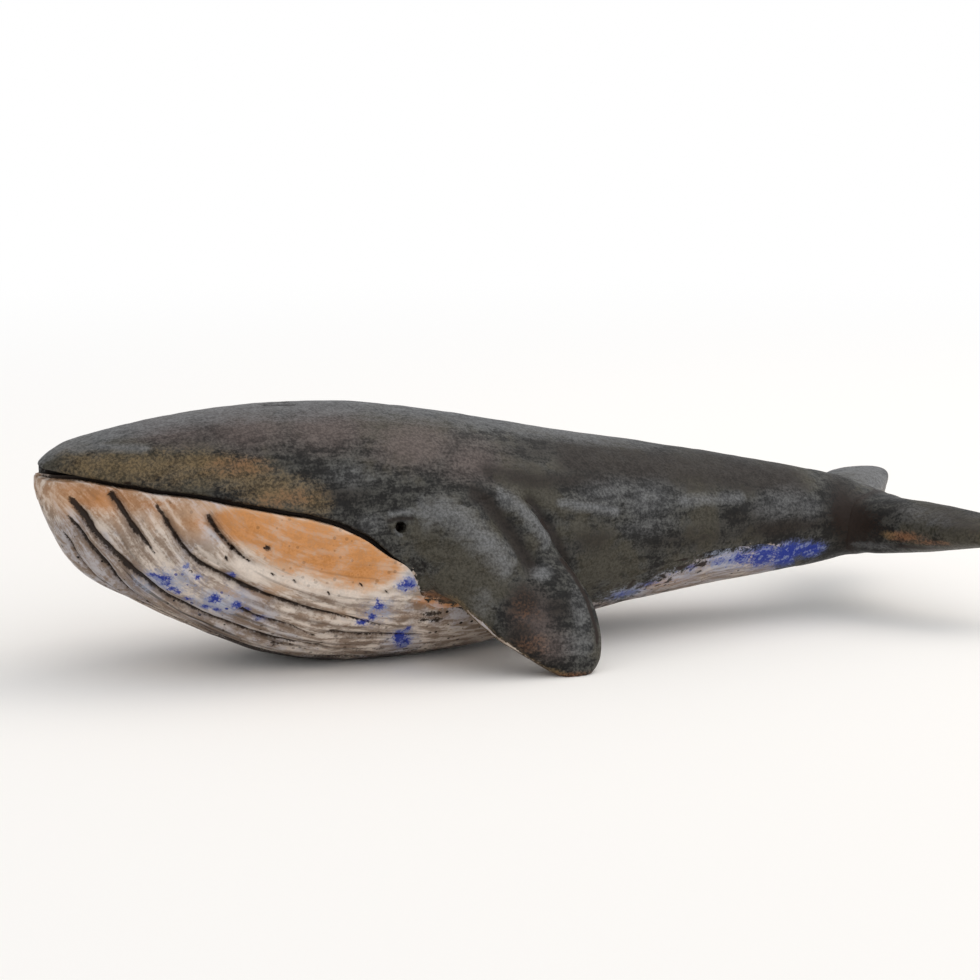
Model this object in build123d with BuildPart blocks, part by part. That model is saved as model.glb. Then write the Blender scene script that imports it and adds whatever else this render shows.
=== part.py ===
"""A hand-built hollow ceramic whale: two shells, two flippers and two tail flukes.

Millimetres. The nose points along -X, the whale's left side along -Y and +Z is up. The origin is
on the table, under the middle of the whale's length.
"""

import os

from build123d import *

# Overall sizes
nose_x = -149.0
nose_height = 55.0
tail_x = 120.0
tail_height = 29.0
wall = 7.0

# Stations down the body: place along it, half width, height of crest and of keel
stations = [
    (-148.0, 4.2, 60.2, 51.0),
    (-146.2, 7.8, 62.4, 46.5),
    (-142.0, 13.0, 65.2, 38.0),
    (-136.0, 17.6, 67.3, 30.3),
    (-128.0, 22.1, 69.2, 24.6),
    (-118.0, 26.5, 71.0, 18.9),
    (-105.0, 31.0, 72.7, 12.1),
    (-90.0, 34.7, 74.0, 5.3),
    (-73.0, 37.0, 74.5, 0.6),
    (-55.0, 37.6, 73.7, -1.1),
    (-35.0, 36.8, 71.0, -0.9),
    (-15.0, 34.9, 67.0, 1.4),
    (5.0, 32.0, 62.8, 5.0),
    (27.0, 28.3, 58.6, 8.6),
    (50.0, 24.2, 54.2, 11.3),
    (72.0, 20.2, 49.7, 13.3),
    (90.0, 16.6, 45.8, 14.8),
    (103.0, 13.8, 42.8, 16.4),
    (111.0, 11.0, 39.8, 18.8),
    (116.5, 7.0, 36.0, 22.4),
]

# How far each quarter of a section swells towards its corner (0.55 is a plain ellipse)
back_fullness = 0.57
snout_fullness = 0.13
snout_end = -35.0
belly_fullness = 0.60

# Mouth: the slit between the lips, and the small step of the lower lip
mouth_front = (-156, 60)
mouth_middle = (-119, 56)
mouth_bend = (-79, 47.6)
mouth_corner = (-52, 32)
mouth_gap = 1.5
mouth_depth = 4.0
lip_step = 0.8
lip_end = -60.0

# Seam behind the mouth, where the belly is luted to the back
seam_line = [mouth_corner, (-46.5, 18.5), (8, 17.5), (46, 26.5), (76, 26.5), (96, 5)]
seam_radii = [9, 60, 60, 20]

# Throat pleats: seen from the side (x, z), then from below (x, y)
side_pleats = [
    [(-141, 52), (-124, 32), (-102, 17.7), (-75, 12)],
    [(-131, 54), (-122, 39), (-104, 25), (-72, 15)],
    [(-120, 51), (-110, 36.5), (-91, 25.7), (-66, 18.5)],
    [(-107, 48), (-95, 34.5), (-75, 26.3), (-51, 20.5)],
]
under_pleats = [
    [(-145, 3), (-130, 5.5), (-100, 6), (-70, 5.5)],
    [(-143, 9), (-132, 12.5), (-105, 14), (-72, 13.5)],
]
pleat_width = 1.8
pleat_depth = 1.2

# Pierced eyes and the two slits of the blowhole
eye_place = (-54, 43.6)
eye_diameter = 3.0
blowhole_x = -78.0
blowhole_spread = 3.2
blowhole_slit = (8.0, 1.6)
blowhole_floor = 70.5
blowhole_angle = 14.0

# Flipper: height of section, front x, back x, middle y, half thickness
flipper_sections = [
    (0.0, -12.0, -2.0, 50.0, 4.0),
    (2.5, -16.0, 0.7, 49.2, 4.7),
    (6.0, -21.5, 2.3, 48.0, 5.2),
    (12.0, -29.7, 2.8, 45.6, 5.6),
    (20.0, -37.5, 1.4, 42.0, 6.0),
    (30.0, -45.5, -4.5, 37.3, 6.5),
    (40.0, -50.0, -8.7, 32.0, 7.0),
    (48.0, -48.0, -11.0, 27.0, 7.0),
    (55.0, -40.0, -15.0, 22.0, 5.5),
]

# Fluke: distance from the middle, leading x, trailing x, half thickness
fluke_sections = [
    (0.0, 96.0, 125.0, 9.3),
    (11.0, 99.0, 127.0, 9.0),
    (22.0, 107.0, 133.5, 7.9),
    (32.0, 115.0, 141.5, 5.9),
    (40.0, 120.5, 147.0, 4.2),
    (45.0, 125.5, 149.1, 3.1),
    (48.0, 131.0, 147.5, 2.2),
]
fluke_tip = (49.2, 140.0)
fluke_height = 27.5
left_lift = 1.3
right_lift = 5.8
paddle_fullness = 0.66

reach = 60.0


def oval(plane, half, crest, keel, upper, lower):
    """One closed section of four quarters: half its width, and crest and keel from the plane's origin."""
    middle = (crest + keel) / 2
    rise = middle + upper * (crest - middle)
    drop = middle - lower * (middle - keel)
    with BuildSketch(plane) as section:
        with BuildLine():
            Bezier((0, crest), (upper * half, crest), (half, rise), (half, middle))
            Bezier((half, middle), (half, drop), (lower * half, keel), (0, keel))
            Bezier((0, keel), (-lower * half, keel), (-half, drop), (-half, middle))
            Bezier((-half, middle), (-half, rise), (-upper * half, crest), (0, crest))
        make_face()
    return section.sketch


def body_hull(inset=0.0, step=0.0):
    """The whole body as one smooth form, drawn in by inset, and by step more along the lips."""
    room = 1.5 * inset
    sections = []
    for x, half_width, crest, keel in stations:
        if x - nose_x <= room or tail_x - x <= room:
            continue
        snout = max(0, (snout_end - x) / (snout_end - nose_x))
        fullness = back_fullness + snout_fullness * snout
        side = half_width - inset - (step if x < lip_end else 0)
        plane = Plane.YZ.offset(x)
        sections.append(oval(plane, side, crest - inset, keel + inset, fullness, belly_fullness))
    nose = Vertex(nose_x + inset + step, 0, nose_height)
    tail = Vertex(tail_x - inset, 0, tail_height)
    with BuildPart() as hull:
        loft([nose, *sections, tail])
    return hull.part


def draw_mouth():
    """The line of the mouth: a slow arc that turns down to the corner."""
    lip = ThreePointArc(mouth_front, mouth_middle, mouth_bend)
    TangentArc(mouth_bend, mouth_corner, tangent=lip % 1)


# Whole forms that the pieces are cut from
upper_form = body_hull(step=lip_step)
lower_form = body_hull()
cavity = body_hull(inset=wall)
lip_floor = body_hull(inset=mouth_depth)
pleat_floor = body_hull(inset=pleat_depth)

# Everything below the mouth and the seam
with BuildPart() as below_seam:
    with BuildSketch(Plane.XZ):
        with BuildLine():
            draw_mouth()
            FilletPolyline(*seam_line, radius=seam_radii)
            Polyline(seam_line[-1], (seam_line[-1][0], -reach), (mouth_front[0], -reach), mouth_front)
        make_face()
    extrude(amount=reach, both=True)

# The gap between the lips
with BuildPart() as mouth_slit:
    with BuildSketch(Plane.XZ):
        with BuildLine():
            draw_mouth()
            offset(amount=mouth_gap / 2, side=Side.BOTH)
        make_face()
    extrude(amount=reach, both=True)
    add(lip_floor, mode=Mode.SUBTRACT)

# The incised pleats
with BuildPart() as pleat_cuts:
    for pleat in side_pleats:
        with BuildSketch(Plane.XZ):
            with BuildLine():
                Spline(*pleat)
            trace(line_width=pleat_width)
        extrude(amount=reach, both=True)
    for pleat in under_pleats:
        with BuildSketch(Plane.XY):
            with BuildLine():
                Spline(*pleat)
            trace(line_width=pleat_width)
            mirror(about=Plane.XZ)
        extrude(amount=reach, both=True)
    add(pleat_floor, mode=Mode.SUBTRACT)

# Upper head, back and tail stock
with BuildPart() as back_shell:
    add(upper_form)
    add(mouth_slit.part, mode=Mode.SUBTRACT)
    add(cavity, mode=Mode.SUBTRACT)
    add(below_seam.part, mode=Mode.SUBTRACT)
    with BuildSketch(Plane.XZ):
        with Locations(eye_place):
            Circle(eye_diameter / 2)
    extrude(amount=reach, both=True, mode=Mode.SUBTRACT)
    with BuildSketch(Plane.XY.offset(blowhole_floor)):
        for side in (1, -1):
            with Locations(Location((blowhole_x, side * blowhole_spread), side * blowhole_angle)):
                SlotOverall(*blowhole_slit)
    extrude(amount=reach, mode=Mode.SUBTRACT)

# Lower jaw, throat and belly, flat where it rests on the table
with BuildPart() as belly_shell:
    add(lower_form)
    add(mouth_slit.part, mode=Mode.SUBTRACT)
    add(pleat_cuts.part, mode=Mode.SUBTRACT)
    add(cavity, mode=Mode.SUBTRACT)
    add(below_seam.part, mode=Mode.INTERSECT)
    split(bisect_by=Plane.XY, keep=Keep.TOP)

# Flippers, their roots cut to the flanks
flipper_ovals = []
for height, front, back, out, thick in flipper_sections:
    level = Plane(((front + back) / 2, -out, height))
    flipper_ovals.append(oval(level, (back - front) / 2, thick, -thick, paddle_fullness, paddle_fullness))

with BuildPart() as left_flipper:
    loft(flipper_ovals)
    add(upper_form, mode=Mode.SUBTRACT)
    add(lower_form, mode=Mode.SUBTRACT)

with BuildPart() as right_flipper:
    mirror(left_flipper.part, about=Plane.XZ)


def fluke_form(side, lift):
    """One whole tail lobe on the given side, its tip raised by lift."""
    tip_out, tip_x = fluke_tip
    sections = []
    for out, lead, trail, thick in fluke_sections:
        middle = ((lead + trail) / 2, side * out, fluke_height + lift * out / tip_out)
        plane = Plane(middle, x_dir=(1, 0, 0), z_dir=(0, side, 0))
        sections.append(oval(plane, (trail - lead) / 2, thick, -thick, paddle_fullness, paddle_fullness))
    with BuildPart() as form:
        loft([*sections, Vertex(tip_x, side * tip_out, fluke_height + lift)])
    return form.part


left_lobe = fluke_form(-1, left_lift)
right_lobe = fluke_form(1, right_lift)

# Flukes, their roots cut to the end of the tail stock
with BuildPart() as left_fluke:
    add(left_lobe)
    add(upper_form, mode=Mode.SUBTRACT)

with BuildPart() as right_fluke:
    add(right_lobe)
    add(upper_form, mode=Mode.SUBTRACT)

# Written out, one file a piece
pieces = {
    "back_shell": back_shell,
    "belly_shell": belly_shell,
    "left_flipper": left_flipper,
    "right_flipper": right_flipper,
    "left_fluke": left_fluke,
    "right_fluke": right_fluke,
}
os.makedirs("parts", exist_ok=True)
for name, piece in pieces.items():
    piece.part.label = name
    export_step(piece.part, f"parts/{name}.step")
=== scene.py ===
"""A hand-built ceramic whale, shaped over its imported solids, glazed, and set on a pale studio floor.

The nose points along -X, the whale's left side faces -Y and +Z is up. Properties and meshes are in
metres, and the shaping in between is in millimetres.
"""

import math

import bpy
import numpy as np
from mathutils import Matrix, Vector, noise
from mathutils.bvhtree import BVHTree


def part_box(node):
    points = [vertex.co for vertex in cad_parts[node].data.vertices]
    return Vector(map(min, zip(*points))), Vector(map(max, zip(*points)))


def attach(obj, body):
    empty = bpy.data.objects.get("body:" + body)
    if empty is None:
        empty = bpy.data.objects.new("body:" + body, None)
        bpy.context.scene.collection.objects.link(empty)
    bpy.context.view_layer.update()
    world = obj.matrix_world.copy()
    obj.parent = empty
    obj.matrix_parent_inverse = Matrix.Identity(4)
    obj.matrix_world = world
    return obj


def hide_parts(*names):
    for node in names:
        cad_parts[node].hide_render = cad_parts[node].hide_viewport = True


bl_info = {
    "name": "Ceramic Whale",
    "version": (1, 0, 0),
    "blender": (4, 5, 0),
    "location": "View3D > Sidebar > Whale",
    "description": "Shapes, glazes and lights a hand-built ceramic whale",
    "category": "Add Mesh",
}

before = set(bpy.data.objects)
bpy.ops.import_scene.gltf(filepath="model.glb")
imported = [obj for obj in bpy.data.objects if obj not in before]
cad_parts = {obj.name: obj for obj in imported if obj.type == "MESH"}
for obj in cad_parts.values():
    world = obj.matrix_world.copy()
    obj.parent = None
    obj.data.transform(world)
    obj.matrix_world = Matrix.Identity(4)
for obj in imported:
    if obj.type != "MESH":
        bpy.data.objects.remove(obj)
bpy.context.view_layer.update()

MM = 0.001

# How finely the pieces are meshed: rows and columns of the shells, and the grain of the limbs in mm
BACK_GRID = (470, 150)
BELLY_GRID = (424, 178)
HOLLOW_COLUMNS = 24
LIMB_GRAIN = 0.5

# Step along a drawn line in mm
LINE_STEP = 0.25

# Rows of points in from a lip's edge, in mm, and the sweep past which a shell's row is a whole ring
LIP_INSETS = np.array([0, 0.15, 0.4, 0.75, 1.2, 1.8])
WHOLE_TURN = 2 * np.pi - 0.01

# How far the lower lip drops at the tip of the chin, and over what length
CHIN_DROP = 1.8
CHIN_LENGTH = 13

# Width of the camera's sensor in mm
SENSOR = 36

# Where the back and the belly meet: place along the whale and height
MOUTH_CORNER = -52
MOUTH_AND_SEAM = [
    (-156, 61.8), (-146, 60.4), (-139, 59.1), (-133, 57.9), (-126, 56.8), (-120.5, 55.6), (-116, 55.1),
    (-112, 54.6), (-108.8, 54), (-105.3, 53.3), (-102, 52.5), (-96, 51.1), (-92, 50.2), (-86.5, 49),
    (-80.5, 47.9), (-75, 46.3), (-71.5, 44.9), (-67, 42.6), (-64.5, 41.2), (-60.5, 38.2), (-57.5, 35.7),
    (MOUTH_CORNER, 31.6), (-48, 24), (-45, 20.2), (-40.6, 18.4), (0, 17.6), (15, 19.2), (39, 24.9),
    (53, 26.5), (67, 26.5), (76, 24.4), (82, 20), (96, 5),
]

# Where the brush stopped: pale slip below the line, dark glaze above it
BRUSH_LINE = [
    (MOUTH_CORNER, 33), (-49, 27), (-46, 22.5), (-40, 20), (-28, 17), (0, 12), (22, 12), (28, 15), (33, 19),
    (40, 21), (46, 23), (53, 24.2), (61, 25), (75, 25), (83, 24.2), (90, 22.5), (98, 19),
]

# Throat pleats: share of the full width, then places along the whale and degrees round it from the crest
PLEATS = [
    (0.7, [(-144, 130), (-143, 138), (-140, 150), (-136, 159), (-130, 166), (-118, 170), (-95, 170)]),
    (0.8, [(-143.6, 100), (-142.2, 108), (-138.9, 118), (-135.1, 128), (-132.3, 134), (-128.6, 145),
           (-125.5, 152), (-121.5, 158), (-116, 162), (-105, 163), (-80, 162)]),
    (1.25, [(-143.4, 76), (-141.1, 86), (-138.8, 95), (-136.4, 106), (-132.7, 115), (-130, 120),
            (-126.6, 126), (-123.3, 130), (-117.6, 137), (-112, 140), (-104, 142), (-90, 142), (-74, 141)]),
    (1.0, [(-132.4, 66), (-131, 73), (-129.7, 79), (-127.6, 89), (-124.7, 98), (-121, 107)]),
    (0.8, [(-122, 70), (-119.4, 80), (-117, 90), (-113.5, 100), (-109.3, 106), (-104, 109), (-96.4, 113),
           (-87.6, 116), (-77.7, 119), (-69, 121), (-56, 127)]),
    (0.65, [(-108, 76), (-106.6, 82), (-103.2, 90), (-99.5, 96), (-96, 99)]),
    (0.7, [(-74, 131), (-63, 133), (-46, 134)]),
    (0.6, [(-99, 126), (-93.7, 129), (-86.7, 130), (-76, 134)]),
]

# The same lines carried on, from the lip down, for what runs between them
THROAT_FLOW = [
    [(-148, 10), (-106.5, 82), (-103.2, 90), (-99.5, 96), (-90.3, 103), (-75, 109), (-47, 114)],
    [(-148, 20), (-119.3, 80), (-117, 90), (-113.5, 100), (-109.3, 106), (-104, 109), (-96.4, 113),
     (-77.7, 119), (-40, 128)],
    [(-148, 35), (-130.9, 73), (-127.6, 89), (-124.7, 98), (-121.3, 107), (-112, 118), (-99, 126),
     (-76.7, 133), (-48, 135)],
    [(-148, 68), (-141.1, 86), (-136.4, 106), (-130, 120), (-123.3, 130), (-117.6, 137), (-104, 142),
     (-48, 143)],
    [(-148, 92), (-142.2, 108), (-135.1, 128), (-128.6, 145), (-121.5, 158), (-105, 163), (-60, 163)],
    [(-148, 115), (-143, 138), (-136, 159), (-130, 166), (-118, 170), (-60, 173)],
]

# Streaks of oxide wiped along the throat between the pleats
STREAKS = [
    [(-139, 103), (-132, 122), (-122, 142), (-108, 152), (-84, 153), (-50, 150)],
    [(-112, 128), (-98, 134), (-80, 138), (-50, 139)],
    [(-104, 114), (-92, 121), (-76, 125), (-58, 129), (-42, 131)],
    [(-88, 108), (-72, 113), (-60, 115), (-42, 116)],
    [(-70, 117), (-57, 119), (-40, 119)],
    [(-58, 122), (-50, 123), (-39, 123)],
    [(-82, 146), (-66, 147), (-44, 146)],
]

# Pinholes fired into the slip: place along the whale, height and width
PINHOLES = [
    (-92.1, 39.7, 2.0), (-101.4, 39.5, 1.5), (-97.1, 36.3, 1.1), (-90.3, 32.3, 1.2), (-84.6, 30, 1.2),
    (-74.9, 25.9, 1.2), (-66, 28, 1.0), (-103, 37, 0.9), (-81, 24, 0.9), (-112, 33, 0.9), (-58, 25, 0.9),
]

# Edge of the snout's flat top, eye and left blowhole slit: places along the whale and degrees round it
SNOUT_EDGE = [(-143, 8), (-138, 20), (-132, 29), (-122, 38), (-110, 46), (-97, 51), (-88, 53)]
EYE = (-54, 80)
BLOWHOLE = [(-82, 1.5), (-74, 4.5)]

# Brow over the eye, the crease under it and the lid below: places along the whale and heights
BROW = [(-58.5, 46.7), (-54, 47.2), (-50, 47), (-46, 46.2)]
BROW_CREASE = [(-58.5, 45.2), (-54, 45.8), (-49.5, 45.5)]
EYE_LID = [(-56.4, 43.2), (-55, 41.6), (-53.6, 40.7)]

# Clay pinched up or pressed in at the shoulder and flank, seen from the side: height, half width, line
PINCHES = [
    (2.0, 4.6, [(-50, 47), (-43, 46), (-36, 41), (-29, 34), (-23, 28)]),
    (-2.0, 2.8, [(-33, 51), (-27, 46), (-22, 39), (-18, 32), (-15, 26)]),
    (1.6, 3.0, [(-25, 50), (-19, 47), (-14, 41), (-10, 34)]),
    (-1.4, 2.0, [(-15, 51), (-11, 45), (-7, 38)]),
    (0.9, 1.6, [(-4, 46), (7, 43.5), (18, 41)]),
    (-0.6, 2.0, [(-2, 42), (8, 40), (20, 37)]),
    (0.6, 2.4, [(30, 43), (48, 40.5), (66, 37)]),
]

# Dabs of glaze: place along the whale, height, half length, half height and strength
BACK_DABS = {
    # Soot at the fluke roots: painted shade in the crease, over brown glaze
    "soot_and_shade": [(99, 33, 6, 8, 0.85), (105, 30, 6, 9, 0.8)],
    "umber": [
        (-112, 71, 15, 5, 0.8), (-92, 71, 16, 6, 0.9), (-70, 70, 16, 6, 0.9), (-45, 64, 16, 6, 0.9),
        (-28, 59, 12, 6, 0.75)],
    # The peat dab at (102, 32) is painted shade in the crease at the fluke roots, over brown glaze
    "peat_and_shade": [
        (8, 34, 12, 5, 0.5), (44, 31, 24, 4, 0.5), (74, 31, 20, 4, 0.75), (68, 35, 26, 6, 0.42),
        (60, 51, 34, 5, 0.8), (0, 60, 22, 4, 0.5), (102, 32, 6, 12, 1), (-70, 53, 10, 4, 0.45)],
    "ochre": [(-106, 62.5, 10, 2.4, 0.95), (-95, 61, 6, 2.2, 0.85), (-88, 54, 9, 3, 1)],
    "rust": [
        (-98, 61.5, 10, 2.6, 0.38), (-86, 53, 9, 2.6, 0.4), (-45, 23.5, 4, 1.6, 0.9),
        (-39, 22, 4, 1.6, 0.9)],
    "toast": [(-45, 21.5, 4, 2, 1), (-39, 20, 5, 2, 1)],
    "haze_and_sheen": [
        (-66, 58, 9, 4, 0.3), (-62, 45, 5, 3, 0.36), (14, 47, 12, 4, 0.42), (28, 44, 9, 5, 0.55),
        (26, 36, 12, 4, 0.3), (76, 38, 11, 4.5, 0.48), (86, 36, 6, 4, 0.4)],
    "cobalt": [(80, 22.5, 8, 3.2, 1), (88, 22, 5, 2.6, 1)],
}
BELLY_DABS = {
    "soot_and_shade": [(-43.5, 16.8, 3.5, 0.9, 0.9), (-45.5, 14.8, 1.5, 0.8, 0.85), (-41.5, 14.6, 2.5, 0.8, 0.9)],
    "wash_and_shade": [(-138, 54, 9, 6, 0.45), (-42, 20, 5, 2, 0.5)],
    "blush": [
        (-142, 54, 9, 6, 0.95), (-131, 52, 12, 6, 0.8), (-114, 49, 14, 6, 0.75), (-88, 27, 16, 3, 0.45),
        (-66, 18, 18, 3, 0.45), (36, 17, 10, 2, 0.5)],
    "toast": [
        (-97, 44.5, 7, 3.6, 1), (-86, 39.5, 8, 4, 0.95), (-76, 35.5, 10, 4.5, 1), (-67, 32, 7, 4, 1),
        (-141, 55.5, 6, 3.2, 0.6), (-134, 53.5, 9, 3.8, 1), (-122, 52.5, 9, 2.4, 0.55),
        (-110, 47, 6, 2, 0.45), (34, 18, 6, 1.2, 0.5), (-45, 21.5, 4, 1.8, 1), (-40, 20, 4.5, 1.8, 1)],
    "chalk": [(-55, 30, 5, 4, 1), (-125, 49, 6, 4, 0.5), (-108, 43, 4, 4, 0.5), (-66, 22, 10, 2.4, 0.6)],
    "milk": [
        (-118, 30, 8, 4.5, 0.85), (-104, 23.5, 8, 4.5, 0.85), (-60, 19, 5, 4.5, 0.7), (-52.5, 27, 4, 3, 0.8),
        (-50, 9, 5, 4, 0.6), (24, 15, 9, 3, 0.6), (40, 19, 9, 3, 0.55), (57, 22, 10, 4, 0.95),
        (74, 22, 10, 4, 0.8)],
    "cobalt": [
        (-121, 32, 1.8, 0.8, 0.95), (-118.6, 31.4, 2.4, 1.1, 1), (-117.8, 29.5, 1.8, 0.9, 0.95),
        (-116, 28, 1.5, 0.8, 0.9), (-114.3, 26.8, 1.1, 0.9, 0.95), (-111.7, 24.6, 1.3, 0.7, 0.85),
        (-110, 31.4, 0.9, 0.9, 0.85), (-113, 34.6, 0.9, 1, 0.75), (-105, 25, 1.8, 1.4, 1),
        (-106.6, 22.1, 1.2, 0.8, 0.95), (-103.7, 21.2, 1.2, 0.9, 1), (-101.2, 31.6, 1.6, 1.1, 0.9),
        (-99, 22.9, 1.5, 1.3, 0.95), (-96.7, 20.9, 1.5, 0.9, 0.9), (-91.7, 18, 2.6, 1, 0.7),
        (-59.8, 20.9, 1.7, 1.3, 1), (-61.3, 17.6, 1.3, 1.4, 1), (-63.3, 15.8, 2.2, 1, 1),
        (-60.5, 23.1, 0.9, 0.9, 0.8), (-51.9, 27.5, 2.4, 1.8, 1), (-53.8, 26.8, 1.6, 1.3, 0.85),
        (-51, 9.3, 2.2, 2.4, 1), (-48.6, 7, 2, 2, 1), (-49.5, 12.4, 1.1, 1.1, 0.95), (22, 15, 6, 1.6, 0.5),
        (30, 17.5, 4, 1.2, 0.5), (44, 21.5, 3, 1.2, 0.5), (54, 22.5, 5, 2, 0.52), (62, 22.5, 6, 3.2, 0.7),
        (70, 22, 6, 4, 0.95), (79, 21.5, 8, 4.5, 1)],
    "rust": [
        (30, 17, 5, 1.2, 0.5), (42, 19, 5, 1.2, 0.45), (-135, 53.5, 5, 2.6, 0.35), (-45, 22, 4, 1.6, 0.9),
        (-39, 20.5, 4, 1.6, 0.9)],
}
FLIPPER_DABS = {
    "haze_and_sheen": [(-14, 28.5, 3, 2, 0.95), (-4, 17, 3, 8, 0.42), (-6, 9, 6, 4, 0.36), (-33, 22, 4, 5, 0.3)],
    "peat_and_shade": [(-21, 21, 6, 5, 0.9), (-23, 13, 5, 6, 0.7), (-12, 19, 7, 4, 0.55)],
    "umber": [(-19, 17, 7, 8, 0.75), (-14, 9, 7, 5, 0.6)],
    "rust": [(-12, 0, 10, 1.4, 0.75), (-21, 19, 6, 6, 0.2), (-20, 10, 7, 4, 0.22)],
}
FLUKE_DABS = {
    # Soot at the fluke's root: painted shade in the crease
    "soot_and_shade": [(103, 30, 6, 9, 0.8), (116, 23.5, 8, 1, 0.7)],
    "rust": [(113, 27, 3.4, 1.6, 0.85), (118, 26, 4, 1.1, 0.6), (147, 28, 3, 3, 0.6)],
    "ochre": [(109.5, 27, 1.6, 1.2, 0.9), (138, 30, 10, 3, 0.45)],
    "haze_and_sheen": [(106, 23, 5, 1.2, 0.7), (118, 33, 7, 3, 0.3)],
}

# Dabs that only one fluke has, those where the belly meets the table, rubbed and in painted shadow, and
# those where its slip has flaked
LEFT_FLUKE_PEAT = [(124, 33, 14, 4, 0.65)]
RIGHT_FLUKE_HAZE = [(134, 35, 18, 7, 1)]
RUBBED_AND_CONTACT_SHADE = [(-86, 4, 8, 3, 0.8), (-72, 2, 12, 3, 0.95), (-52, 1, 14, 3, 0.9), (-34, 1, 14, 3, 0.8)]
FLAKED = [(-92, 8, 16, 4.5, 1), (-70, 4, 16, 5, 1), (-46, 4, 16, 5, 1)]

# Strokes of glaze: a line seen from the side, its half width and its strength
BACK_STROKES = {
    "peat_and_shade": [
        (BROW_CREASE, 0.7, 0.95),
        ([(-34, 52), (-28, 48), (-22, 40), (-17, 31)], 2.8, 0.9),
        ([(-14, 50), (-10, 43), (-5, 35), (-1, 26)], 2.0, 0.85),
        ([(-30, 57), (-6, 52), (20, 50)], 3.0, 0.7),
        ([(-6, 59), (30, 53), (60, 48), (94, 42)], 5, 0.95)],
    "ochre": [
        ([(-147, 62), (-134, 61.5), (-120, 61.5), (-104, 61), (-92, 57), (-80, 53), (-70, 49)], 4.2, 0.66)],
    # Haze strokes along the brow, the lid, the snout's edge and the pinched ridges: bloom and a painted
    # highlight
    "haze_and_sheen": [
        (BROW, 0.9, 0.8),
        (EYE_LID, 0.5, 0.6),
        ([(-142, 65.4), (-132, 66.6), (-118, 66.2)], 1.0, 0.8),
        ([(-50, 47), (-43, 46.5), (-36, 42), (-29, 35)], 4.0, 0.78),
        ([(-25, 50), (-18, 46), (-13, 40)], 2.4, 0.72),
        ([(-5, 46), (6, 43.5), (18, 41)], 1.2, 1.0),
        ([(36, 42.5), (52, 41.5), (64, 41)], 1.6, 0.7)],
}
BELLY_STROKES = {
    "chalk": [([(-104, 37), (-96, 34), (-84, 30), (-70, 26.5), (-56, 27)], 3, 0.95)],
}
FLIPPER_STROKES = {
    # Haze strokes along the flipper's pinched ridges: bloom and a painted highlight
    "haze_and_sheen": [
        ([(-50, 47), (-43, 46.5), (-36, 42), (-29, 35), (-22, 28)], 4.0, 0.8),
        ([(-25, 50), (-18, 46), (-13, 40), (-9, 34)], 2.4, 0.72)],
    "peat_and_shade": [
        ([(-34, 52), (-28, 48), (-22, 40), (-17, 31), (-16, 26)], 2.8, 0.9),
        ([(-14, 50), (-10, 43), (-5, 35), (-1, 26)], 2.0, 0.85)],
    "ochre": [([(-43, 26), (-37.5, 19.5), (-30, 12), (-21.5, 5.5), (-16, 2), (-8, 0)], 1.0, 0.85)],
}

# Strokes along the edges of a flipper's outer face: a painted shadow line behind, bare slip in front
FLIPPER_EDGE_SHADOW = ([(-8, 33), (-3.6, 26.5), (-0.8, 20), (0.5, 12), (-0.1, 6)], 0.8, 1.0)
FLIPPER_SLIP = ([(-39.5, 22), (-37.5, 19.5), (-30, 12), (-21.5, 5.5), (-14, 1)], 0.9, 1.0)

# Toasted band under the lip: place along the whale, height and half width
TOASTED_BAND = [
    (-104, 47.5, 3), (-100, 46.2, 5), (-86, 41.2, 7.4), (-75, 38, 7.9), (-65, 34.5, 7.4), (-59, 32.5, 5),
]


def ease(low, high, value):
    """0 below low and 1 above high, with a soft step between."""
    t = np.clip((value - low) / (high - low), 0, 1)
    return t * t * (3 - 2 * t)


def rough(points, size):
    """A smooth random number from about -1 to 1 for each point, in lumps of that size."""
    return np.array([noise.noise(Vector(point)) for point in points / size])


def smooth_curve(points, at):
    """The height of a smooth line through the points, without overshoot, at each given place."""
    x, y = np.array(points, float).T
    run = np.diff(x)
    slope = np.diff(y) / run
    product = slope[:-1] * slope[1:]
    total = slope[:-1] + slope[1:]
    inner = np.where(product > 0, 2 * product / np.where(total == 0, 1, total), 0)
    tangent = np.concatenate([slope[:1], inner, slope[-1:]])
    at = np.clip(at, x[0], x[-1])
    i = np.clip(np.searchsorted(x, at) - 1, 0, len(run) - 1)
    t = (at - x[i]) / run[i]
    rise = y[i + 1] - y[i]
    bend = tangent[i] * run[i] * t * (1 - t) ** 2 - tangent[i + 1] * run[i] * t * t * (1 - t)
    return y[i] + rise * t * t * (3 - 2 * t) + bend


def blurred(field, times):
    """The field smoothed both ways, round its angles and along its rows, with the end rows kept."""
    for _ in range(times):
        field = field / 2 + (np.roll(field, 1, 1) + np.roll(field, -1, 1)) / 4
        field[1:-1] = field[1:-1] / 2 + (field[2:] + field[:-2]) / 4
    return field


def spread(field, reach, pick):
    """The highest or lowest value within reach samples, as pick says."""
    for axis, steps in ((1, reach), (0, reach // 2)):
        field = pick.reduce([np.roll(field, k, axis) for k in range(-steps, steps + 1)])
    return field


def solid_tree(*names):
    """A search tree over the faces of the named solids, in mm."""
    points = []
    faces = []
    for name in names:
        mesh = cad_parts[name].data
        start = len(points)
        points += [v.co / MM for v in mesh.vertices]
        faces += [[start + i for i in face.vertices] for face in mesh.polygons]
    return BVHTree.FromPolygons(points, faces)


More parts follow.
